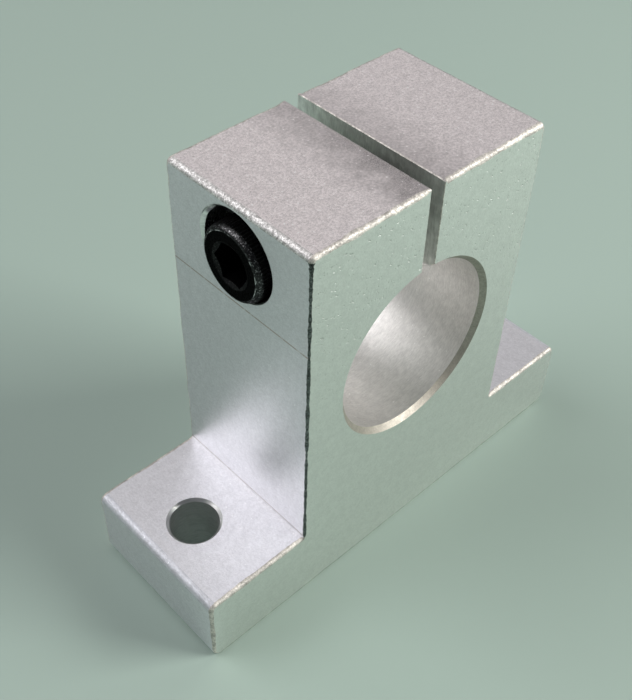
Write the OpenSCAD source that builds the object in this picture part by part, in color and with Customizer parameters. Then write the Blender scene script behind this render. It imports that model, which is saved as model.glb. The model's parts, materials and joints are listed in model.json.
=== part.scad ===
// Shaft support block for a 25 mm round shaft. One length of T-shaped aluminium extrusion is
// bored for the shaft and sawn through above the bore. A cap screw across the saw cut pulls
// the two lugs together and so grips the shaft.
// +X runs along the foot, +Y along the shaft and +Z up. The origin is in the middle of the
// mounting face. The screw's head is on the -X side.

/* [Block] */
// Length of the foot, across the shaft
foot_length = 70; // [68:1:80]
// Thickness of the foot
foot_thickness = 12; // [8:1:16]
// Width of the upright body, across the shaft
body_width = 38; // [36:1:42]
// Height from the mounting face to the top
block_height = 60; // [59:1:70]
// Depth along the shaft, which is the length cut off the extrusion
block_depth = 24; // [18:1:40]

/* [Shaft bore] */
// Shaft diameter
shaft_d = 25; // [20:1:25]
// Height of the shaft's axis above the mounting face
shaft_height = 35; // [32:1:36]
// Chamfer at each mouth of the bore
bore_chamfer = 0.7; // [0.2:0.1:1.2]
// Width of the saw cut between the lugs
slit_width = 2.2; // [1:0.1:3]

/* [Mounting holes] */
// Distance between the two holes
hole_pitch = 56; // [54:1:58]
// Hole diameter, for M6 bolts
hole_d = 6.8; // [5.5:0.1:7]
// Chamfer at the top of each hole
hole_chamfer = 0.4; // [0.2:0.1:1]

/* [Clamp screw] */
// Thread diameter
screw_d = 6; // [5:0.5:6]
// Length under the head
screw_length = 25; // [20:1:30]
// Head diameter
head_d = 10; // [8.5:0.1:10.1]
// Head height
head_height = 6; // [5:0.1:6.5]
// Chamfer round the head's outer face
head_chamfer = 0.6; // [0.2:0.1:0.8]
// Hexagon socket across its flats
socket_width = 5; // [4:0.5:5]
// Depth of the socket's straight sides
socket_depth = 3; // [2:0.1:3.5]
// Turn of the hexagon about the screw's axis
socket_turn = 30; // [0:1:59]
// Chamfer at the screw's tip
tip_chamfer = 0.8; // [0.2:0.1:1]

/* [Clamp screw's holes] */
// Depth of the screw's axis below the top of the block
screw_below_top = 7.9; // [7.3:0.1:8]
// How far the screw sits below the middle of its counterbore
screw_drop = 0.9; // [0:0.1:0.9]
// Counterbore diameter
counterbore_d = 12; // [12:0.1:12.4]
// Counterbore depth
counterbore_depth = 5; // [4:0.1:6.5]
// Hole through the near lug
clearance_d = 6.6; // [6.4:0.1:7]
// Gap all round between the tapped hole, drawn plain, and the thread's crests
thread_gap = 0.05; // [0.02:0.01:0.08]

/* [Rounded corners of the extrusion] */
// Top of the body
top_corner_r = 0.7; // [0.3:0.1:1]
// Top of the foot, at its ends
foot_top_r = 1; // [0.3:0.1:2]
// Bottom of the foot, at its ends
foot_bottom_r = 1.4; // [0.3:0.1:2]

/* [Hidden] */
$fn = 96;
// Cutters run this far past the faces they cut
past = 1;
half_depth = block_depth / 2;
half_body = body_width / 2;
screw_z = block_height - screw_below_top;
counterbore_z = screw_z + screw_drop;
// Where the underside of the head rests
head_seat_x = -half_body + counterbore_depth;
// The conical bottom that the drill leaves under the hexagon, with a 120 degree point
drill_tip_depth = socket_width / 2 * tan(30);

// What a rounded corner leaves out of a square one. The corner points to +X +Y from the origin.
module corner_waste(radius) {
    translate([-radius, -radius])
        difference() {
            square(radius + past);
            circle(radius);
        }
}

// Both corners at +X and -X, at the given height; up is false for corners that point down.
module pair_of_corners(x, z, radius, up = true) {
    for (side = [0, 1])
        mirror([side, 0])
            translate([x, z])
                mirror([0, up ? 0 : 1])
                    corner_waste(radius);
}

// Outline of the extrusion, looking along the shaft.
module extrusion_outline() {
    difference() {
        union() {
            translate([-foot_length / 2, 0])
                square([foot_length, foot_thickness]);
            translate([-half_body, 0])
                square([body_width, block_height]);
        }
        pair_of_corners(half_body, block_height, top_corner_r);
        pair_of_corners(foot_length / 2, foot_thickness, foot_top_r);
        pair_of_corners(foot_length / 2, 0, foot_bottom_r, up = false);
    }
}

// A cylinder lying along the shaft, right through the block.
module shaft_bore() {
    translate([0, 0, shaft_height])
        rotate([90, 0, 0]) {
            cylinder(d = shaft_d, h = block_depth + 2 * past, center = true);
            for (side = [0, 1])
                mirror([0, 0, side])
                    translate([0, 0, half_depth - bore_chamfer])
                        cylinder(
                            r1 = shaft_d / 2,
                            r2 = shaft_d / 2 + bore_chamfer + past,
                            h = bore_chamfer + past
                        );
        }
}

// The saw cut, from the top down into the bore.
module saw_cut() {
    translate([-slit_width / 2, -half_depth - past, shaft_height])
        cube([slit_width, block_depth + 2 * past, block_height - shaft_height + past]);
}

// One mounting hole, countersunk a little at the top of the foot.
module mounting_hole() {
    translate([0, 0, -past])
        cylinder(d = hole_d, h = foot_thickness + 2 * past);
    translate([0, 0, foot_thickness - hole_chamfer])
        cylinder(
            r1 = hole_d / 2,
            r2 = hole_d / 2 + hole_chamfer + past,
            h = hole_chamfer + past
        );
}

// Counterbore and clearance hole in the near lug, tapped hole right through the far lug.
module screw_holes() {
    translate([-half_body - past, 0, counterbore_z])
        rotate([0, 90, 0])
            cylinder(d = counterbore_d, h = counterbore_depth + past);
    translate([-half_body, 0, screw_z])
        rotate([0, 90, 0])
            cylinder(d = clearance_d, h = half_body);
    translate([0, 0, screw_z])
        rotate([0, 90, 0])
            cylinder(d = screw_d + 2 * thread_gap, h = half_body + past);
}

module support_block() {
    color("#b9bab8")
        difference() {
            rotate([90, 0, 0])
                linear_extrude(block_depth, center = true)
                    extrusion_outline();
            shaft_bore();
            saw_cut();
            for (side = [-1, 1])
                translate([side * hole_pitch / 2, 0, 0])
                    mounting_hole();
            screw_holes();
        }
}

// Head and shank as one turned shape: head above z = 0, shank below it, thread drawn plain.
module turned_screw() {
    head_r = head_d / 2;
    shank_r = screw_d / 2;
    rotate_extrude()
        polygon([
            [0, head_height],
            [head_r - head_chamfer, head_height],
            [head_r, head_height - head_chamfer],
            [head_r, 0],
            [shank_r, 0],
            [shank_r, tip_chamfer - screw_length],
            [shank_r - tip_chamfer, -screw_length],
            [0, -screw_length],
        ]);
}

// Hexagon socket with the drill's conical bottom.
module hex_socket() {
    translate([0, 0, head_height - socket_depth])
        rotate(socket_turn)
            cylinder(d = socket_width / cos(30), h = socket_depth + past, $fn = 6);
    translate([0, 0, head_height - socket_depth - drill_tip_depth])
        cylinder(r1 = 0, r2 = socket_width / 2, h = drill_tip_depth);
}

module clamp_screw() {
    color("#202224")
        translate([head_seat_x, 0, screw_z])
            rotate([0, -90, 0])
                difference() {
                    turned_screw();
                    hex_socket();
                }
}

support_block();
clamp_screw();
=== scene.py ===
"""A shaft support block: a clamp of extruded aluminium with its black cap screw, on a pale floor.

The object is made in the order it is made in the workshop: the block first, then the screw that
is driven into its side, then the studio round them. Lengths are in metres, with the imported
model's own frame: +X along the foot, +Y along the shaft, +Z up from the mounting face.
"""
import json
import math

import bmesh
import bpy
import numpy as np
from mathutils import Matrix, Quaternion, Vector
from mathutils.geometry import delaunay_2d_cdt


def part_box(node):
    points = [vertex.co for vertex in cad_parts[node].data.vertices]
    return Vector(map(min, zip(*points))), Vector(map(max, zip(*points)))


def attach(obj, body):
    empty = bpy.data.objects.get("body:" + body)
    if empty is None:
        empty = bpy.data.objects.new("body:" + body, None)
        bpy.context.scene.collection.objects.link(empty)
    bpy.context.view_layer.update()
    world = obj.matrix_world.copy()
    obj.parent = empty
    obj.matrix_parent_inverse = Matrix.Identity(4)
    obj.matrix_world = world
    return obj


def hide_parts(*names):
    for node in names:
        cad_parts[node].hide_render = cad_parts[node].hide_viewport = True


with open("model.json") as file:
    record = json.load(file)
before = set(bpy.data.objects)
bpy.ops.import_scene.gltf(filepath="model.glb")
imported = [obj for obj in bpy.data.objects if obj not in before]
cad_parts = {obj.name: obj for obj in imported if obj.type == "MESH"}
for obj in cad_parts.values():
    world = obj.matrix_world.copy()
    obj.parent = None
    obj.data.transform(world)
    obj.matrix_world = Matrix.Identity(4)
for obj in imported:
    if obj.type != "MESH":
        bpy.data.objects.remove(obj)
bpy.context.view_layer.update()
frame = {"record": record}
mm = 0.001


# ------------------------------------------------------------------------------------------
# SUPPORT BLOCK. One length of T-shaped aluminium extrusion, satin as it left the die, sawn off
# and deburred by hand. It is reamed for the shaft, slit through above the bore, drilled for
# two foundation bolts, and counterbored, drilled and tapped from the side for the screw.
# ------------------------------------------------------------------------------------------

block_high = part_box("support_block")[1]
screw_low, screw_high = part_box("clamp_screw")
mounts = {mount["name"]: mount for mount in frame["record"]["mounts"]}

foot_half = block_high[0]
half_depth = block_high[1]
block_top = block_high[2]
body_half = 19 * mm
foot_top = 12 * mm
inner_fillet = 0.12 * mm
top_corner = 0.7 * mm
foot_corner = 1.0 * mm
bottom_corner = 1.4 * mm

bore_height = mounts["shaft_bore"]["pos_m"][2]
bore_radius = mounts["shaft_bore"]["dims"]["r_mm"] * mm
bore_chamfer = half_depth - mounts["shaft_bore"]["dims"]["length_mm"] * mm / 2
slit_half = 1.1 * mm
slit_lip = 0.1 * mm

bolt_place = mounts["mounting_holes"]["dims"]["spacing_x_mm"] * mm / 2
bolt_radius = mounts["mounting_holes"]["dims"]["hole_r_mm"] * mm
bolt_chamfer = 0.4 * mm
bolt_outlet = 0.12 * mm

screw_height = (screw_low[2] + screw_high[2]) / 2
counterbore_height = screw_height + 0.9 * mm
counterbore_radius = 6 * mm
counterbore_floor = -body_half + 5 * mm
clearance_radius = 3.3 * mm
thread_pitch = 1 * mm


def straight(start, end, pitch=0.35 * mm):
    """Points about a pitch apart on the straight line from start to end, both ends included."""
    start = np.array(start, float)
    end = np.array(end, float)
    steps = max(1, round(np.linalg.norm(end - start) / pitch))
    share = np.linspace(0, 1, steps + 1)[:, None]
    return start + share * (end - start)


def bend(centre, radius, first, last, steps=8):
    """Points on an arc from angle first to angle last in degrees, counted from +X towards +Z."""
    turn = np.radians(np.linspace(first, last, steps + 1))
    return np.array(centre) + radius * np.stack([np.cos(turn), np.sin(turn)], axis=1)


def groove(height, width, depth):
    """A shallow V in the upright's side at -X, left by a nick in the die; the one by the foot
    carries painted shade.
    """
    bottom = depth - body_half
    return np.array(
        [[-body_half, height + width / 2], [bottom, height], [-body_half, height - width / 2]]
    )


narrow_groove = 0.1 * mm
upper_side_pitch = 0.16 * mm


def half_outline(side, side_grooves):
    """Half of the extrusion's outline, from the slit down to the bottom, as named runs of points.

    side is -1 for the half at -X and 1 for its mirror image. The grooves are (height, width,
    depth) down the upright's side, from the top. A wider one is darkened: a real die mark higher
    up, painted shade just above the foot. A narrow groove is not darkened and counts as bare side.
    """
    corner_z = block_top - top_corner
    lug_top = straight((-slit_half - slit_lip, block_top), (-body_half + top_corner, block_top))
    runs = [
        ("lug top", lug_top),
        ("top corner", bend((-body_half + top_corner, corner_z), top_corner, 90, 180)),
    ]
    above = corner_z
    for number, (height, width, depth) in enumerate(side_grooves):
        name = "lug side" if number == 0 else "side"
        lower_end = (-body_half, height + width / 2)
        runs.append((name, straight((-body_half, above), lower_end, upper_side_pitch)))
        groove_name = "dark groove" if width > narrow_groove else "side"
        runs.append((groove_name, groove(height, width, depth)))
        above = height - width / 2
    foot_x = -body_half - inner_fillet
    corner_x = -foot_half + foot_corner
    bottom_x = -foot_half + bottom_corner
    runs += [
        ("side", straight((-body_half, above), (-body_half, foot_top + inner_fillet))),
        ("fillet", bend((foot_x, foot_top + inner_fillet), inner_fillet, 0, -90, 4)),
        ("foot top", straight((foot_x, foot_top), (corner_x, foot_top))),
        ("foot corner", bend((corner_x, foot_top - foot_corner), foot_corner, 90, 180)),
        ("foot end", straight((-foot_half, foot_top - foot_corner), (-foot_half, bottom_corner))),
        ("bottom corner", bend((bottom_x, bottom_corner), bottom_corner, 180, 270)),
    ]
    if side > 0:
        runs = [(name, points[::-1] * (-1, 1)) for name, points in reversed(runs)]
    return runs


# The whole outline as one closed loop, counter-clockwise seen from -Y: down the -X half, along
# the bottom, up the +X half, down the slit, round the bore and up the slit again.
mouth_height = bore_height + math.sqrt((bore_radius + bore_chamfer) ** 2 - slit_half ** 2)
bore_gap = math.degrees(math.asin(slit_half / bore_radius))
link_height = 0.15 * mm
slit_bottom = mouth_height + link_height
slit_wall = straight((slit_half, block_top - slit_lip), (slit_half, slit_bottom))
slit_edge = straight((slit_half + slit_lip, block_top), (slit_half, block_top - slit_lip))
# The groove just above the foot's inner corner carries a thin line of painted shade along that
# corner.
corner_shade_line = (foot_top + 0.3 * mm, 0.12 * mm, 0.015 * mm)
screw_side_lines = [
    (45.8 * mm, 0.2 * mm, 0.02 * mm),
    (44.4 * mm, 0.1 * mm, 0.008 * mm),
    corner_shade_line,
]
tapped_side_lines = [(43.2 * mm, 0.16 * mm, 0.02 * mm), corner_shade_line]
runs = (
    half_outline(-1, screw_side_lines)
    + [("bottom", straight((-foot_half + bottom_corner, 0), (foot_half - bottom_corner, 0)))]
    + half_outline(1, tapped_side_lines)
    + [
        ("slit lip", slit_edge),
        ("slit wall", slit_wall),
        ("bore", bend((0, bore_height), bore_radius, 90 - bore_gap, bore_gap - 270, 192)),
        ("slit wall", slit_wall[::-1] * (-1, 1)),
        ("slit lip", slit_edge[::-1] * (-1, 1)),
    ]
)

# Each run as (name, first index, last index) into the loop. Where two runs meet they share a
# point; the slit walls and the bore don't meet, so a short link joins them.
outline = []
spans = []
for name, points in runs:
    meets = bool(outline) and np.allclose(outline[-1], points[0], atol=1e-9)
    first = len(outline) - 1 if meets else len(outline)
    outline.extend(points[1:] if meets else points)
    spans.append((name, first, len(outline) - 1))
outline = np.array(outline[:-1])
point_count = len(outline)
bore_first, bore_last = next((a, b) for name, a, b in spans if name == "bore")

# along is the length round the loop up to each point. facing points out of the metal across
# each step. inward points into it at each point: it is the two facings beside the point, added
# and turned round, and long enough to keep an inset loop's sides parallel to the first one's.
step_on = np.roll(outline, -1, axis=0) - outline
along = np.concatenate([[0], np.cumsum(np.linalg.norm(step_on, axis=1))[:-1]])
step_on /= np.linalg.norm(step_on, axis=1)[:, None]
facing = np.stack([step_on[:, 1], -step_on[:, 0]], axis=1)
facing_before = np.roll(facing, 1, axis=0)
inward = -(facing + facing_before) / (1 + (facing * facing_before).sum(axis=1))[:, None]


def wobble(lengths, pitch, chance):
    """Smooth random values from -1 to 1 at the lengths given.

    Random knots lie a pitch apart and are joined by cosine easing.
    """
    knots = chance.uniform(-1, 1, int(lengths.max() / pitch) + 3)
    place = lengths / pitch
    knot = np.floor(place).astype(int)
    share = 0.5 - 0.5 * np.cos(np.pi * (place - knot))
    return knots[knot] * (1 - share) + knots[knot + 1] * share


# How far each stretch of cut edge was taken back by the file: its width and how uneven it is.
edge_work = {
    "lug top": (0.58 * mm, 0.30),
    "top corner": (0.52 * mm, 0.30),
    "lug side": (0.27 * mm, 0.60),
    "side": (0.27 * mm, 0.60),
    "dark groove": (0.27 * mm, 0.60),
    "fillet": (0.10 * mm, 0.20),
    "foot top": (0.52 * mm, 0.22),
    "foot corner": (0.50 * mm, 0.25),
    "foot end": (0.40 * mm, 0.30),
    "bottom corner": (0.36 * mm, 0.25),
    "bottom": (0.28 * mm, 0.30),
    "slit lip": (0.10 * mm, 0.20),
    "slit wall": (0.09 * mm, 0.45),
    "bore": (bore_chamfer, 0.0),
}


def edge_widths(seed):
    """Width of the worked edge at each point of the loop, wandering slowly and quickly along it.

    Outside the slit, the steps from one stretch's width to the next are smoothed over seven
    points. Six tenths of the wandering is slow and four tenths quick. The bore's machined
    chamfer keeps one width.
    """
    chance = np.random.default_rng(seed)
    width = np.zeros(point_count)
    rough = np.zeros(point_count)
    for name, first, last in spans:
        at = np.arange(first, last + 1) % point_count
        width[at], rough[at] = edge_work[name]
    outside = slice(0, next(a for name, a, b in spans if name == "slit lip"))
    window = np.hanning(9)[1:-1] / np.hanning(9).sum()
    padded = np.pad(width[outside], 3, mode="edge")
    width[outside] = np.convolve(padded, window, mode="valid")
    uneven = 0.6 * wobble(along, 2.3 * mm, chance) + 0.4 * wobble(along, 0.3 * mm, chance)
    width = width * (1 + rough * uneven)
    width[bore_first:bore_last + 1] = bore_chamfer
    return width


def loop_at(inset):
    """The loop moved into the metal by an inset for each point, which on the bore widens it.

    The widened bore still ends on the slit's walls, so its arc opens a little less far.
    """
    moved = outline + inward * inset[:, None]
    bore = slice(bore_first, bore_last + 1)
    radius = bore_radius + inset[bore]
    gap = np.arcsin(slit_half / radius)
    share = np.linspace(0, 1, bore_last - bore_first + 1)
    turn = np.pi / 2 - gap - share * (2 * np.pi - 2 * gap)
    moved[bore] = np.stack([radius * np.cos(turn), bore_height + radius * np.sin(turn)], axis=1)
    return moved


def edge_rows(side, width):
    """The worked edge at one end of the block: rows of points from the skin to the end face.

    A filed edge is a quarter of a circle as wide as the edge; the bore's is a straight chamfer.
    """
    is_bore = np.zeros(point_count)
    is_bore[bore_first:bore_last + 1] = 1
    rows = []
    for share in np.linspace(0, 1, 5):
        turn = share * math.pi / 2
        inset = width * np.where(is_bore, share, 1 - math.cos(turn))
        back = width * np.where(is_bore, 1 - share, 1 - math.sin(turn))
        flat = loop_at(inset)
        rows.append(np.stack([flat[:, 0], side * (half_depth - back), flat[:, 1]], axis=1))
    return np.array(rows)


# Faces that meet at more than the crisp angle keep a sharp edge between them. Points closer
# than the weld are joined into one, and edges shorter than a sliver are taken out.
crisp = math.radians(32)
weld = 0.0002 * mm
sliver = 0.00001 * mm


class Shell:
    """A piece's surfaces, gathered one by one and welded into one closed mesh at the end."""

    def __init__(self):
        self.points = []
        self.faces = []
        self.finishes = []
        self.smooth = []
        self.total = 0

    def add(self, points, faces, finish, smooth):
        """Points and the faces that join them, counted from the first of these points."""
        faces = np.asarray(faces) + self.total
        self.points.append(points)
        self.faces.extend(faces.tolist())
        self.finishes.extend([finish] * len(faces))
        self.smooth.extend([smooth] * len(faces))
        self.total += len(points)

    def sheet(self, rows, finish, smooth=True):
        """A grid of points, rows by columns, joined by four-sided faces."""
        rows = np.asarray(rows)
        down, across = rows.shape[:2]
        index = np.arange(down * across).reshape(down, across)
        corners = [index[:-1, :-1], index[1:, :-1], index[1:, 1:], index[:-1, 1:]]
        faces = np.stack([corner.ravel() for corner in corners], axis=1)
        self.add(rows.reshape(-1, 3), faces, finish, smooth)

    def fill(self, outer, holes, axes, finish):
        """A flat face inside the outer loop and outside the holes, cut into Delaunay triangles.

        axes are the two coordinates that the face spreads over. The holes are all convex, so a
        triangle with its three corners on one hole's loop lies in that hole and is left out.
        """
        loops = [outer, *holes]
        points = np.concatenate(loops)
        loop_of = np.repeat(range(len(loops)), [len(loop) for loop in loops])
        edges = []
        start = 0
        for loop in loops:
            index = start + np.arange(len(loop))
            edges.extend(zip(index.tolist(), np.roll(index, -1).tolist()))
            start += len(loop)
        flat = [Vector(place) for place in points[:, axes] / mm]
        inside_only = 1
        _, _, faces, sources, _, _ = delaunay_2d_cdt(flat, edges, [], inside_only, 1e-7)
        faces = np.array([source[0] for source in sources])[np.array(faces)]
        corner_loops = loop_of[faces]
        in_hole = (corner_loops.min(axis=1) > 0) & (np.ptp(corner_loops, axis=1) == 0)
        self.add(points, faces[~in_hole], finish, False)

    def piece(self, name, finishes):
        """The welded mesh as an object, with its normals outwards and its finishes in slots."""
        mesh = bpy.data.meshes.new(name)
        mesh.from_pydata(np.concatenate(self.points), [], self.faces)
        mesh.polygons.foreach_set("material_index", self.finishes)
        mesh.polygons.foreach_set("use_smooth", self.smooth)
        for finish in finishes:
            mesh.materials.append(finish)
        welded = bmesh.new()
        welded.from_mesh(mesh)
        bmesh.ops.remove_doubles(welded, verts=welded.verts, dist=weld)
        bmesh.ops.dissolve_degenerate(welded, edges=welded.edges, dist=sliver)
        bmesh.ops.recalc_face_normals(welded, faces=welded.faces)
        for edge in welded.edges:
            if len(edge.link_faces) == 2 and edge.calc_face_angle() > crisp:
                edge.smooth = False
        welded.to_mesh(mesh)
        welded.free()
        made = bpy.data.objects.new(name, mesh)
        bpy.context.scene.collection.objects.link(made)
        return made


round_angles = np.linspace(0, 2 * np.pi, 97)


def ring(axis, place, centre, radius):
    """A closed circle of points across the X or Z axis, by the right-hand rule about it."""
    first = centre[0] + radius * np.cos(round_angles)
    second = centre[1] + radius * np.sin(round_angles)
    level = np.full_like(first, place)
    order = [level, first, second] if axis == "x" else [first, second, level]
    return np.stack(order, axis=1)


def thread_shape(phase):
    """Height of a 60 degree thread, 0 in the root and 1 on the crest, over one turn of phase.

    The flanks are straight, an eighth of the pitch is flat crest and a quarter is flat root.
    """
    off_crest = np.abs((phase + 0.5) % 1 - 0.5)
    return np.clip((0.375 - off_crest) / 0.3125, 0, 1)


rows_a_turn = 12


def thread_rows(places, root, crest, lowest, highest):
    """Rows of a right-hand thread along X round the screw's axis, one row for each place.

    The radius rises from root to crest along a helix that gains one pitch a turn, and is then
    kept between the lowest and the highest radius allowed at each place.
    """
    turns = round_angles[None, :] / (2 * np.pi)
    phase = places[:, None] / thread_pitch - turns
    radius = root + (crest - root) * thread_shape(phase)
    radius = np.clip(radius, lowest[:, None], highest[:, None])
    level = np.broadcast_to(places[:, None], radius.shape)
    across = radius * np.cos(round_angles)
    up = screw_height + radius * np.sin(round_angles)
    return np.stack([level, across, up], axis=2)


# Shares of the block's depth at which the dented corners have their rows of points. The faces
# beside a dented corner take the same points on the edge that they share with it.
row_pitch = 0.22 * mm
row_share = np.linspace(0, 1, int(2 * half_depth / row_pitch))
fade_in = 30


def beside_corner(near, far, column):
    """The boundary of a face that has a dented corner along its first or last column."""
    seam = near[column] + row_share[1:-1, None] * (far[column] - near[column])
    if column == 0:
        return np.concatenate([near, far[::-1], seam[::-1]])
    return np.concatenate([near, seam, far[::-1]])


def rumpled(near, far, into, depth, chance):
    """The strip from the near points to the far ones, in rows, dented at random along into.

    The dents are random depths, each averaged with the next ones both ways and stretched so
    that the shallow ones come out flat. They die away at the strip's four sides, where it
    meets other faces: as a sine across it, and straight over its first and last thirtieth.
    """
    share = row_share[:, None, None]
    strip = near + share * (far - near)
    dents = chance.uniform(0, 1, strip.shape[:2])
    dents = (dents + np.roll(dents, 1, axis=0) + np.roll(dents, 1, axis=1)) / 3
    dents = np.clip(dents * 2 - 0.6, 0, 1)
    across = np.sin(np.linspace(0, np.pi, strip.shape[1]))
    lengthwise = np.clip(np.minimum(share, 1 - share)[:, :, 0] * fade_in, 0, 1)
    strip[:, :, [0, 2]] += (depth * dents * across * lengthwise)[:, :, None] * into
    return strip


# The block's finishes, by their place in its list of materials.
SKIN, TOP, CORNER, ROUND_CORNER, STAIN_AND_SHADE, CUT_FACE, EDGE, BURR_PAINTED_DARK = range(8)
CHAMFER, BORE, SAWN, DRILLED, SCREW_HOLE = range(8, 13)

block = Shell()
near_rows = edge_rows(-1, edge_widths(11))
far_rows = edge_rows(1, edge_widths(12))

# End faces: everything inside the innermost row of the worked edge.
for rows in (near_rows, far_rows):
    block.fill(rows[-1], [], [0, 2], CUT_FACE)

# Holes, as rows of rings. Each one's first and last ring are edges of flat faces.
screw_axis = (0, screw_height)
counterbore_axis = (0, counterbore_height)

# The counterbore's mouth is chamfered unevenly by hand: it widens with the fourth power of the
# cosine of the angle off its widest place, which is counted up from +Y. The tool has nicked the
# mouth there too: the metal is pushed in more and more and then stands up again at once.
wall_radius = counterbore_radius - 0.05 * mm
mouth_lip = 0.02 * mm
mouth_chamfer = 0.13 * mm
mouth_widening = 0.34 * mm
off_widest = round_angles - math.radians(28)
chamfered = mouth_chamfer + mouth_widening * np.clip(np.cos(off_widest), 0, 1) ** 4
nick_angles = (24, 38, 41)
nick_depth = np.interp(np.degrees(round_angles), nick_angles, (0, 1.3 * mm, 0))
counterbore = [
    ring("x", -body_half, counterbore_axis, wall_radius + chamfered),
    ring("x", -body_half, counterbore_axis, wall_radius - mouth_lip + chamfered),
    ring("x", -body_half, counterbore_axis, wall_radius),
    ring("x", counterbore_floor, counterbore_axis, wall_radius),
]
counterbore[1][:, 0] += mouth_lip + nick_depth
counterbore[2][:, 0] += np.maximum(chamfered, nick_depth)
clearance_mouth = 0.15 * mm
clearance_outlet = 0.1 * mm
counterbore_bottom = [
    counterbore[-1],
    ring("x", counterbore_floor, screw_axis, clearance_radius + clearance_mouth),
]
clearance_hole = [
    counterbore_bottom[-1],
    ring("x", counterbore_floor + clearance_mouth, screw_axis, clearance_radius),
    ring("x", -slit_half - clearance_outlet, screw_axis, clearance_radius),
    ring("x", -slit_half, screw_axis, clearance_radius + clearance_outlet),
]
tapped_root = 3.05 * mm
tapped_crest = 2.5 * mm
tapped_mouth = 0.35 * mm
tapped_turns = round((body_half - slit_half) / thread_pitch)
tapped_places = np.linspace(slit_half, body_half, rows_a_turn * tapped_turns)
to_end = np.minimum(tapped_places - slit_half, body_half - tapped_places)
mouth_cone = tapped_root + tapped_mouth - to_end
tapped_hole = thread_rows(
    tapped_places, tapped_crest, tapped_root, mouth_cone, np.full_like(mouth_cone, np.inf)
)


def bolt_hole(x):
    """Rings down a foundation bolt's hole, countersunk at the top of the foot."""
    centre = (x, 0)
    return [
        ring("z", foot_top, centre, bolt_radius + bolt_chamfer),
        ring("z", foot_top - bolt_chamfer, centre, bolt_radius),
        ring("z", bolt_outlet, centre, bolt_radius),
        ring("z", 0, centre, bolt_radius + bolt_outlet),
    ]


bolt_holes = {side: bolt_hole(side * bolt_place) for side in (-1, 1)}
block.sheet(counterbore[:3], DRILLED)
block.sheet(counterbore[2:], SCREW_HOLE)
block.sheet(counterbore_bottom, SCREW_HOLE)
block.sheet(clearance_hole, SCREW_HOLE)
block.sheet(tapped_hole, SCREW_HOLE)
for rings in bolt_holes.values():
    block.sheet(rings, DRILLED)


def holes_in(name, x):
    """The mouths of the holes in a run of the outline whose middle is at x."""
    if name == "lug side":
        return [counterbore[0] if x < 0 else tapped_hole[-1]]
    if name == "slit wall":
        return [clearance_hole[-1] if x < 0 else tapped_hole[0]]
    if name == "foot top":
        return [bolt_holes[-1 if x < 0 else 1][0]]
    if name == "bottom":
        return [bolt_holes[-1][-1], bolt_holes[1][-1]]
    return []


# The skin along the shaft's direction, run by run, and the worked edges at both ends of it.
skin_finish = {
    "lug top": TOP, "top corner": CORNER, "dark groove": STAIN_AND_SHADE, "foot corner": ROUND_CORNER,
    "slit lip": EDGE, "slit wall": SAWN, "bore": BORE,
}
dent_chance = np.random.default_rng(21)
corner_dent = 0.06 * mm
for name, first, last in spans:
    at = np.arange(first, last + 1) % point_count
    middle_x = outline[at, 0].mean()
    if name == "slit wall":
        # The link down to the bore lies in the slit's wall and ends at the bore's chamfer.
        at = np.append(at, bore_first) if middle_x > 0 else np.insert(at, 0, bore_last)
    near = near_rows[0][at]
    far = far_rows[0][at]
    mouths = [mouth_ring[:-1] for mouth_ring in holes_in(name, middle_x)]
    finish = skin_finish.get(name, SKIN)
    if name in ("lug top", "lug side"):
        corner_last = (name == "lug top") == (middle_x < 0)
        outer = beside_corner(near, far, -1 if corner_last else 0)
        block.fill(outer, mouths, [0, 1] if name == "lug top" else [1, 2], finish)
    elif mouths:
        axes = [1, 2] if name == "slit wall" else [0, 1]
        block.fill(np.concatenate([near, far[::-1]]), mouths, axes, finish)
    elif finish == CORNER:
        block.sheet(rumpled(near, far, inward[at], corner_dent, dent_chance), finish)
    else:
        block.sheet([near, far], finish)
    worked = CHAMFER if name == "bore" else EDGE
    # On the screw's side the front vertical edge takes the burr finish, whose dark colour is a
    # painted dark reflection.
    burred_painted_dark = name in ("lug side", "dark groove", "side") and middle_x < 0
    block.sheet(near_rows[:, at], BURR_PAINTED_DARK if burred_painted_dark else worked)
    block.sheet(far_rows[:, at], worked)


def add(tree, kind, inputs=None, **settings):
    """A new shader node with its settings; each input is given a value or a socket to link."""
    node = tree.nodes.new("ShaderNode" + kind)
    for name, value in settings.items():
        setattr(node, name, value)
    for name, value in (inputs or {}).items():
        if isinstance(value, bpy.types.NodeSocket):
            tree.links.new(value, node.inputs[name])
        else:
            node.inputs[name].default_value = value
    return node


def total(tree, kind, first, second):
    """The result of one operation, of the kind named, on two numbers or sockets."""
    node = add(tree, "Math", {0: first, 1: second}, operation=kind)
    return node.outputs[0]


def noise(tree, place, per_mm, detail, stretch=(1, 1, 1)):
    """Noise with about per_mm features to the millimetre, drawn out along an axis by stretch."""
    spread = tuple(1000 * per_mm / value for value in stretch)
    spread = add(tree, "VectorMath", {0: place, 1: spread}, operation="MULTIPLY")
    node = add(tree, "TexNoise", {"Vector": spread.outputs[0], "Scale": 1, "Detail": detail})
    return node.outputs["Fac"]


def between(tree, value, low, high, from_low=0.0, from_high=1.0):
    """The value taken from one range to another, with soft ends."""
    node = add(
        tree,
        "MapRange",
        {"Value": value, "From Min": from_low, "From Max": from_high, "To Min": low, "To Max": high},
        interpolation_type="SMOOTHSTEP",
    )
    return node.outputs["Result"]


# A cut face is smoother from this height down than it is from the other height up.
smooth_below = 25 * mm
rough_above = 48 * mm


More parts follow.
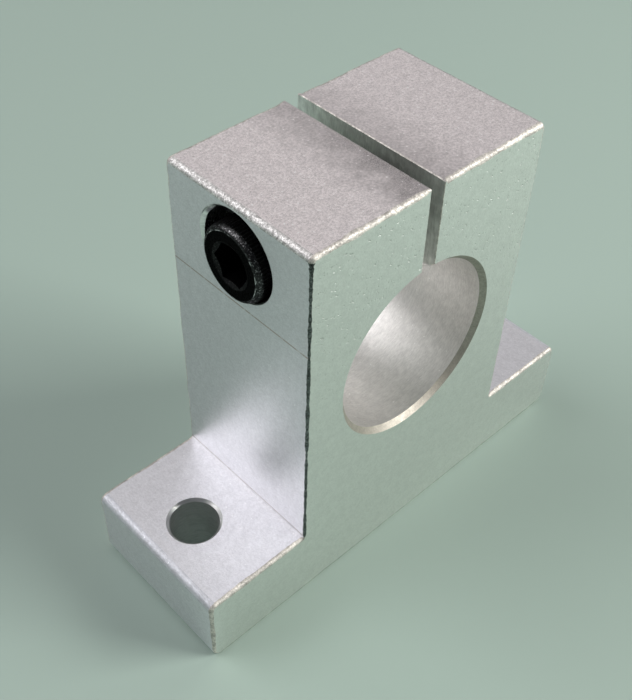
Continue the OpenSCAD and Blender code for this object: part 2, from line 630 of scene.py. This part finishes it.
def aluminium(
    name, tint, roughness, grain, grain_height, stretch=(1, 1, 1), contrast=0.06,
    mottle=0.06, pits=0.0, specks=0.0, dents=0.0, soiled=0.0, sawn=0.0, stain_and_shade=None, stain_and_shade_share=0.5,
):
    """Bare aluminium with a fine grain, and any of mottling, pits, bright specks and dents.

    grain is in features to the millimetre; grain_height, dents and sawn are in metres, and the
    other amounts are about 0 to 1, or more for a stronger effect. stretch draws the grain out
    along an axis. Dents, and the pits of a dented face, fade towards the foot. soiled darkens
    the metal towards the slit, more at the front and on the screw head's side. sawn is the
    depth of slanting saw marks across the foot. The last two give a colour and the share of
    the metal that it covers; in the grooves' material it is partly a real mark, partly painted
    shade.
    """
    material = bpy.data.materials.new(name)
    material.use_nodes = True
    tree = material.node_tree
    shader = tree.nodes["Principled BSDF"]
    place = add(tree, "TexCoord").outputs["Object"]

    fine = noise(tree, place, grain, 3.0, stretch)
    finer = noise(tree, place, grain * 2.3, 2.0, stretch)
    broad = noise(tree, place, 0.9, 4.0)
    shade = between(tree, broad, 1 - mottle, 1 + mottle * 0.6, 0.32, 0.68)
    for cloud in (fine, finer):
        tone = between(tree, cloud, 1 - contrast, 1 + contrast, 0.3, 0.7)
        shade = total(tree, "MULTIPLY", shade, tone)
    polish = between(tree, finer, roughness + 0.07, roughness - 0.06, 0.3, 0.7)
    height = total(tree, "MULTIPLY", fine, grain_height)
    height = total(tree, "ADD", height, total(tree, "MULTIPLY", finer, grain_height * 0.35))
    parts = add(tree, "SeparateXYZ", {0: place}).outputs
    if dents:
        dent = noise(tree, place, 2.8, 1.0)
        upwards = between(tree, parts["Z"], 0.25, 1, smooth_below, rough_above)
        dent = total(tree, "MULTIPLY", dent, upwards)
        height = total(tree, "ADD", height, total(tree, "MULTIPLY", dent, dents))
    if sawn:
        slant = {"Vector": place, "Angle": 0.65}
        slanted = add(tree, "VectorRotate", slant, rotation_type="Y_AXIS")
        mark = noise(tree, slanted.outputs[0], 1.6, 2.0, (1, 1, 25))
        downwards = between(tree, parts["Z"], 1, 0.2, 10 * mm, 26 * mm)
        mark = total(tree, "MULTIPLY", mark, downwards)
        height = total(tree, "ADD", height, total(tree, "MULTIPLY", mark, sawn))
    if pits:
        pit = between(tree, noise(tree, place, 2.2, 2.0), 0, 1, 0.64, 0.73)
        if dents:
            upwards = between(tree, parts["Z"], 0.15, 1, smooth_below, rough_above)
            pit = total(tree, "MULTIPLY", pit, upwards)
        shade = total(tree, "MULTIPLY", shade, between(tree, pit, 1, 1 - 0.4 * pits))
        deepest = 0.12 * mm * pits
        height = total(tree, "SUBTRACT", height, total(tree, "MULTIPLY", pit, deepest))
    if soiled:
        from_slit = total(tree, "ABSOLUTE", parts["X"], 0.0)
        ragged = total(tree, "MULTIPLY", noise(tree, place, 0.35, 6.0), 9 * mm)
        from_slit = total(tree, "ADD", from_slit, ragged)
        darker = between(tree, from_slit, soiled, 0, 4.5 * mm, 14 * mm)
        grainy = between(tree, finer, 0.45, 1.25, 0.35, 0.65)
        to_back = between(tree, parts["Y"], 1, 0.6, -12 * mm, 12 * mm)
        across_slit = between(tree, parts["X"], 1, 0.55, -1 * mm, 1 * mm)
        for share in (grainy, to_back, across_slit):
            darker = total(tree, "MULTIPLY", darker, share)
        shade = total(tree, "MULTIPLY", shade, total(tree, "SUBTRACT", 1.0, darker))
    if specks:
        speck = between(tree, noise(tree, place, 3.0, 1.0), 0, specks, 0.72, 0.78)
        shade = total(tree, "ADD", shade, speck)
        polish = total(tree, "SUBTRACT", polish, total(tree, "MULTIPLY", speck, 0.15))
    colour = add(tree, "VectorMath", {0: tint, "Scale": shade}, operation="SCALE").outputs[0]
    if stain_and_shade:
        cover = 0.66 - 0.32 * stain_and_shade_share
        patch = between(tree, noise(tree, place, 1.5, 4.0), 0, 1, cover - 0.06, cover + 0.06)
        mix = tree.nodes.new("ShaderNodeMixRGB")
        tree.links.new(patch, mix.inputs["Fac"])
        tree.links.new(colour, mix.inputs["Color1"])
        mix.inputs["Color2"].default_value = (*stain_and_shade, 1)
        colour = mix.outputs["Color"]
    bump = add(tree, "Bump", {"Height": height, "Distance": 1.0, "Strength": 1.0})
    tree.links.new(colour, shader.inputs["Base Color"])
    tree.links.new(polish, shader.inputs["Roughness"])
    tree.links.new(bump.outputs["Normal"], shader.inputs["Normal"])
    shader.inputs["Metallic"].default_value = 1
    return material


um = 1e-6

# In the order of the places named above. Skins are drawn out along the extrusion, the bore and
# the holes round their own axes, and the slit's walls the way the saw went down.
block_finishes = [
    aluminium(
        "extruded_skin", (0.79, 0.79, 0.82), 0.46, 3.2, 36 * um, (1, 1.5, 1),
        contrast=0.04, mottle=0.03, specks=0.5,
    ),
    aluminium(
        "extruded_top", (0.85, 0.80, 0.80), 0.48, 3.0, 40 * um,
        contrast=0.13, mottle=0.07, pits=0.2, specks=0.9, soiled=0.6,
    ),
    aluminium("rough_corner", (0.66, 0.65, 0.64), 0.58, 2.6, 60 * um, contrast=0.25, specks=0.9),
    aluminium(
        "extruded_corner", (0.70, 0.71, 0.75), 0.66, 3.0, 12 * um, (1, 3, 1),
        mottle=0.05, specks=0.5,
    ),
    # Dark grooves: higher up the side this colour is a real mark from the die; in the groove just
    # above the foot it is painted shade along the inner corner.
    aluminium(
        "die_line_stain_and_corner_shade", (0.74, 0.72, 0.72), 0.45, 3.0, 9 * um,
        stain_and_shade=(0.50, 0.43, 0.40), stain_and_shade_share=0.85,
    ),
    aluminium(
        "cut_face", (0.80, 0.82, 0.79), 0.42, 3.2, 8 * um,
        contrast=0.03, mottle=0.03, pits=0.35, dents=27 * um, specks=1.1, sawn=8 * um,
    ),
    aluminium(
        "filed_edge", (0.70, 0.67, 0.63), 0.66, 2.2, 45 * um,
        contrast=0.15, mottle=0.2, specks=0.7,
    ),
    # The burr's grain and bright specks are real; its near-black colour is a painted dark reflection
    # down the front vertical edge.
    aluminium("burred_edge_painted_dark", (0.13, 0.145, 0.14), 0.5, 2.2, 90 * um, contrast=0.5, specks=5.0),
    aluminium("machined_chamfer", (0.47, 0.44, 0.39), 0.56, 2.0, 9 * um, mottle=0.08),
    aluminium(
        "reamed_bore", (0.80, 0.785, 0.765), 0.50, 5.0, 12 * um, (5, 1, 5),
        contrast=0.05, mottle=0.05, specks=0.3,
    ),
    aluminium(
        "sawn_wall", (0.77, 0.79, 0.76), 0.42, 3.0, 30 * um, (1, 1, 7),
        contrast=0.07, mottle=0.12,
    ),
    aluminium("drilled_hole", (0.95, 0.96, 0.95), 0.34, 3.4, 12 * um, (6, 6, 1)),
    aluminium("screw_hole_wall", (0.85, 0.85, 0.85), 0.3, 3.4, 14 * um, (1, 6, 6)),
]
support_block = block.piece("support_block_metal", block_finishes)
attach(support_block, "block")
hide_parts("support_block")


# ------------------------------------------------------------------------------------------
# CLAMP SCREW. A cap screw of blackened steel: forged head with a straight knurl, punched
# hexagon socket, rolled thread. It draws the two lugs together from inside the counterbore.
# ------------------------------------------------------------------------------------------

head_face = screw_low[0]
screw_tip = screw_high[0]
head_radius = (screw_high[2] - screw_low[2]) / 2
head_seat = counterbore_floor
rim_radius = 4.34 * mm
worn_rim = 0.07 * mm
knurl_start = head_face + 0.72 * mm
knurl_end = head_seat - 0.25 * mm
knurl_teeth = 72
knurl_depth = 0.13 * mm
knurl_taper = 0.18 * mm
plain_relief = 0.08 * mm
under_head_chamfer = 0.12 * mm
under_head_relief = 0.2 * mm
socket_half = 2.5 * mm
socket_mouth = 3.06 * mm
socket_cone_slope = 0.55
socket_floor = head_face + 3 * mm
socket_apex = socket_floor + socket_half * math.tan(math.radians(30))
drill_radius = socket_half * 0.999
shank_crest = 2.97 * mm
shank_root = 2.39 * mm
blank_radius = 2.68 * mm
neck_radius = 2.95 * mm
neck_length = 0.3 * mm
run_out_length = 1.6 * mm
run_out_slope = 0.6
tip_radius = 2.15 * mm

# The screw's finishes, by their place in its list of materials.
FACE, RIM, SHOULDER, KNURL, THREAD = range(5)
screw = Shell()


def turned(profile, angles=round_angles):
    """Rows of rings about the screw's axis, one for each (place, radius) of the profile.

    A radius may be an array with a value for each angle.
    """
    rows = []
    for place, radius in profile:
        across = radius * np.cos(angles)
        up = screw_height + radius * np.sin(angles)
        rows.append(np.stack([np.full_like(across, place), across, up], axis=1))
    return np.array(rows)


# The hexagon's radius is its half width over the cosine of the angle off the middle of a flat,
# and two of its corners point along Y. Its mouth is coned, so the cone meets the flats in arcs.
# The drill's own cone in the bottom starts just inside the flats.
off_flat = (round_angles % (np.pi / 3)) - np.pi / 6
hexagon = socket_half / np.cos(off_flat)
cone_depth = (socket_mouth - hexagon) * socket_cone_slope
socket_rows = turned([(head_face, socket_mouth), (head_face, hexagon), (socket_floor, hexagon)])
socket_rows[1, :, 0] += cone_depth
screw.sheet(socket_rows[:2], KNURL)
screw.sheet(socket_rows[1:], FACE)
screw.sheet(turned([(socket_floor, hexagon), (socket_floor, drill_radius)]), FACE)
drill_point = [
    (socket_floor + share * (socket_apex - socket_floor), drill_radius * (1 - share))
    for share in np.linspace(0, 1, 5)
]
screw.sheet(turned(drill_point), FACE)

# The head: flat face, rim turned over to the straight knurl, bearing face under the head. The
# knurl is a triangle wave round the head, with its crests and roots cut flat and its depth a
# little uneven. The shoulder's width follows the sine, and its height the cosine, of a quarter
# turn, both raised to one power.
fine_angles = np.linspace(0, 2 * np.pi, knurl_teeth * 8 + 1)
tooth = np.abs(fine_angles * knurl_teeth / (2 * np.pi) % 1 - 0.5) * 2
tooth = np.clip(tooth * 1.5 - 0.1, 0, 1)
wear = wobble(fine_angles, 0.17, np.random.default_rng(5))
tooth_depth = knurl_depth * (1 + 0.25 * wear)
tooth_depth[-1] = tooth_depth[0]
round_side = np.full_like(fine_angles, head_radius - plain_relief)
toothed_side = head_radius - tooth_depth * tooth
shoulder_start = rim_radius + worn_rim
shoulder_width = head_radius - plain_relief - shoulder_start
shoulder_drop = knurl_start - head_face - 0.03 * mm
shoulder_power = 1.2
shoulder = [
    (
        knurl_start - shoulder_drop * math.cos(turn) ** shoulder_power,
        shoulder_start + shoulder_width * math.sin(turn) ** shoulder_power,
    )
    for turn in np.linspace(0, math.pi / 2, 8)
]
rim_rows = turned([(head_face, rim_radius), shoulder[0]], fine_angles)
shoulder_rows = turned(shoulder, fine_angles)
knurl_rows = turned(
    [
        (knurl_start, round_side),
        (knurl_start + knurl_taper, toothed_side),
        (knurl_end - knurl_taper, toothed_side),
        (knurl_end, round_side),
        (head_seat - under_head_chamfer, round_side),
        (head_seat, round_side - under_head_relief),
    ],
    fine_angles,
)
screw.sheet(rim_rows, RIM)
screw.sheet(shoulder_rows, SHOULDER)
screw.sheet(knurl_rows, KNURL)
screw.fill(rim_rows[0, :-1], [socket_rows[0, :-1]], [1, 2], FACE)

# The shank is threaded nearly up to the head, where the thread runs out, and coned at the tip.
shank_start = head_seat + neck_length
neck = turned([(head_seat, neck_radius), (shank_start, blank_radius)])
shank_turns = round((screw_tip - shank_start) / thread_pitch)
shank_places = np.linspace(shank_start, screw_tip, rows_a_turn * shank_turns)
run_out = np.clip((shank_places - shank_start) / run_out_length, 0, 1)
lowest = shank_root * run_out + blank_radius * (1 - run_out)
highest = tip_radius + (screw_tip - shank_places)
highest = np.minimum(highest, blank_radius + (shank_places - shank_start) * run_out_slope)
lowest = np.minimum(lowest, highest)
shank = thread_rows(shank_places, shank_root, shank_crest, lowest, highest)
screw.fill(knurl_rows[-1, :-1], [neck[0, :-1]], [1, 2], FACE)
screw.sheet(neck, FACE)
screw.sheet(shank, THREAD)
screw.fill(shank[-1, :-1], [], [1, 2], FACE)


def black_oxide(name, shade, roughness, grain_height, worn, bare=0.0):
    """Blackened steel with a fine grain, rubbed grey in specks by the amount worn.

    shade is the black's brightness and grain_height is in metres. bare, from 0 to 1, says how
    much of the surface has the black rubbed right off.
    """
    material = bpy.data.materials.new(name)
    material.use_nodes = True
    tree = material.node_tree
    shader = tree.nodes["Principled BSDF"]
    place = add(tree, "TexCoord").outputs["Object"]
    fine = noise(tree, place, 4.0, 3.0)
    speck = between(tree, noise(tree, place, 5.5, 1.5), 0, worn, 0.55, 0.70)
    tone = total(tree, "MULTIPLY", between(tree, fine, 0.6, 1.4, 0.3, 0.7), shade)
    tone = total(tree, "ADD", tone, speck)
    if bare:
        first_rubbed = 0.62 - 0.3 * bare
        patch = noise(tree, place, 0.9, 3.0)
        rubbed = between(tree, patch, 0.02, 0.6, first_rubbed, first_rubbed + 0.1)
        tone = total(tree, "ADD", tone, rubbed)
    colour = add(tree, "VectorMath", {0: (0.97, 0.98, 1.0), "Scale": tone}, operation="SCALE")
    polish = between(tree, fine, roughness + 0.12, roughness - 0.08, 0.3, 0.7)
    height = total(tree, "MULTIPLY", fine, grain_height)
    bump = add(tree, "Bump", {"Height": height, "Distance": 1.0, "Strength": 1.0})
    tree.links.new(colour.outputs[0], shader.inputs["Base Color"])
    tree.links.new(polish, shader.inputs["Roughness"])
    tree.links.new(bump.outputs["Normal"], shader.inputs["Normal"])
    shader.inputs["Metallic"].default_value = 1
    shader.inputs["Specular Tint"].default_value = (0.45, 0.45, 0.45, 1)
    return material


screw_finishes = [
    black_oxide("black_oxide", 0.009, 0.42, 20 * um, 0.008),
    black_oxide("rubbed_rim", 0.03, 0.35, 10 * um, 0.08, bare=0.4),
    black_oxide("rubbed_shoulder", 0.04, 0.36, 45 * um, 0.26),
    black_oxide("black_oxide_knurl", 0.025, 0.40, 30 * um, 0.04),
    black_oxide("black_oxide_thread", 0.03, 0.32, 12 * um, 0.06),
]
clamp_screw = screw.piece("clamp_screw_steel", screw_finishes)
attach(clamp_screw, "screw")
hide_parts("clamp_screw")


# ------------------------------------------------------------------------------------------
# STUDIO. A plain pale floor, a key light at the front right, two large soft lights behind and
# above, a weak even light from all round, and the camera.
# ------------------------------------------------------------------------------------------

scene = bpy.context.scene
scene.view_settings.view_transform = "Standard"

floor_half = 1.2
floor_signs = [(-1, -1), (1, -1), (1, 1), (-1, 1)]
floor_corners = [(floor_half * x, floor_half * y, 0) for x, y in floor_signs]
floor_mesh = bpy.data.meshes.new("floor")
floor_mesh.from_pydata(floor_corners, [], [(0, 1, 2, 3)])
floor = bpy.data.objects.new("floor", floor_mesh)
scene.collection.objects.link(floor)
floor_material = bpy.data.materials.new("pale_floor")
floor_material.use_nodes = True
floor_shader = floor_material.node_tree.nodes["Principled BSDF"]
floor_shader.inputs["Base Color"].default_value = (0.37, 0.475, 0.42, 1)
floor_shader.inputs["Roughness"].default_value = 0.6
floor_mesh.materials.append(floor_material)

world = bpy.data.worlds.new("studio")
scene.world = world
world.use_nodes = True
surroundings = world.node_tree.nodes["Background"]
surroundings.inputs["Color"].default_value = (0.9, 0.95, 1, 1)
surroundings.inputs["Strength"].default_value = 0.1

light_aim = (0, 0, 30 * mm)


def soft_light(name, place, size, power, colour):
    """A square soft light of a size and a power in watts, turned towards the block's middle."""
    data = bpy.data.lights.new(name, "AREA")
    data.size = size
    data.energy = power
    data.color = colour
    lamp = bpy.data.objects.new(name, data)
    lamp.location = place
    towards = Vector(light_aim) - Vector(place)
    lamp.rotation_euler = towards.to_track_quat("-Z", "Y").to_euler()
    scene.collection.objects.link(lamp)


soft_light("key", (0.37, -0.40, 0.36), 0.3, 3.7, (1, 0.99, 0.95))
soft_light("back left", (-0.44, 0.46, 0.64), 0.7, 4.7, (1, 0.98, 0.99))
soft_light("back right", (0.49, 0.51, 0.71), 0.9, 1.55, (1, 0.96, 0.96))

# The camera stands in front on the screw's side, 45 degrees up, and is tipped a little.
camera_aim = Vector((-4.017, 2.178, 26.732)) * mm
camera_distance = 140.72 * mm
camera_azimuth = math.radians(-44.564)
camera_elevation = math.radians(44.985)
camera_tip = math.radians(1.892)
camera_data = bpy.data.cameras.new("camera")
camera_data.lens = 52.92
camera_data.clip_start = 5 * mm
camera_data.clip_end = 10
camera = bpy.data.objects.new("camera", camera_data)
scene.collection.objects.link(camera)
away = Vector((
    math.sin(camera_azimuth) * math.cos(camera_elevation),
    -math.cos(camera_azimuth) * math.cos(camera_elevation),
    math.sin(camera_elevation),
))
camera.location = camera_aim + away * camera_distance
level_view = (-away).to_track_quat("-Z", "Y")
camera.rotation_mode = "QUATERNION"
camera.rotation_quaternion = level_view @ Quaternion((0, 0, 1), camera_tip)
scene.camera = camera
